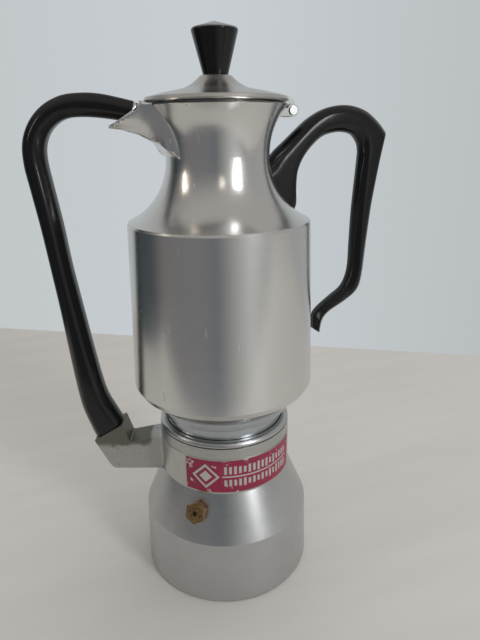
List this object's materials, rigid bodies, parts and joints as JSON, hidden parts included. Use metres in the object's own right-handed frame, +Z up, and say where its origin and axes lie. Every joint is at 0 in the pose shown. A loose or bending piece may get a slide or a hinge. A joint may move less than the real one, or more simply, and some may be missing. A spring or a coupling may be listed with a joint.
{
  "type": "moka pot",
  "caption": "Stacked stovetop coffee maker: conical boiler with a tall bracket-mounted handle, and a double-walled serving jug with spout, hinged lid and its own handle.",
  "frame": {"origin": "centre of the boiler's base, on its flat resting face", "axes": "+Z up along the pot's axis; -X towards the jug's spout, +X towards the jug's hinge and handle; the boiler's own handle stands 20 degrees from -X towards +Y"},
  "size_m": [0.173, 0.0904, 0.2705],
  "materials": {
    "satin_aluminium": "spun, satin with fine turning marks",
    "polished_aluminium": "polished",
    "cast_aluminium": "cast, pitted and dull",
    "foil": "thin foil, lightly creased",
    "label_red": "worn print",
    "brass": "aged",
    "fibre": "hard fibre",
    "steel": "bright",
    "black_bakelite": "glossy, hand-worn",
    "grey_bakelite": "dull",
    "gasket_rubber": "matt",
    "cork": "matt"
  },
  "bodies": {
    "boiler": {"boiler_shell": "satin_aluminium", "collar_bracket": "cast_aluminium", "foil_band": "foil", "label_print": "label_red", "valve_body": "brass", "valve_washer": "fibre", "valve_cap": "brass", "valve_spring": "steel", "boiler_handle": "black_bakelite", "handle_pin": "steel"},
    "plunger": {"valve_plunger": "steel"},
    "funnel": {"funnel": "satin_aluminium", "funnel_strainer": "satin_aluminium"},
    "seal": {"gasket": "gasket_rubber", "filter_plate": "satin_aluminium"},
    "jug": {"jug_base": "satin_aluminium", "lower_shell": "polished_aluminium", "upper_shell": "polished_aluminium", "seam_ring": "satin_aluminium", "inner_liner": "satin_aluminium", "liner_spacer": "cork", "riser_column": "satin_aluminium", "column_cap": "satin_aluminium", "spout": "polished_aluminium", "hinge_lug": "cast_aluminium", "hinge_pin": "steel", "jug_handle": "black_bakelite", "handle_screws": "steel", "screw_washers": "steel"},
    "lid": {"lid": "polished_aluminium", "lid_knuckle": "cast_aluminium", "knob": "black_bakelite", "knob_cap": "grey_bakelite", "knob_screw": "steel", "knob_washer": "steel"}
  },
  "joints": [
    {"name": "jug_lift", "type": "slide", "parent": "boiler", "child": "seal", "axis": [0, 0, 1], "range_m": [0, 0.032]},
    {"name": "jug_turn", "type": "hinge", "parent": "seal", "child": "jug", "pos_m": [0, 0, 0.08], "axis": [0, 0, 1], "range_deg": [0, 120]},
    {"name": "funnel_lift", "type": "slide", "parent": "boiler", "child": "funnel", "axis": [0, 0, 1], "range_m": [0, 0.016]},
    {"name": "lid_hinge", "type": "hinge", "parent": "jug", "child": "lid", "pos_m": [0.0352, 0, 0.2358], "axis": [0, 1, 0], "range_deg": [0, 105]},
    {"name": "valve_plunge", "type": "slide", "parent": "boiler", "child": "plunger", "axis": [-0.6037, -0.6944, 0.3916], "range_m": [0, 0.001], "stiffness_N_per_m": 900, "springref_m": -0.0005, "deforming": ["valve_spring"]}
  ],
  "couplings": [
    {"joint": "funnel_lift", "follows": "jug_lift", "ratio": 0.5}
  ]
}
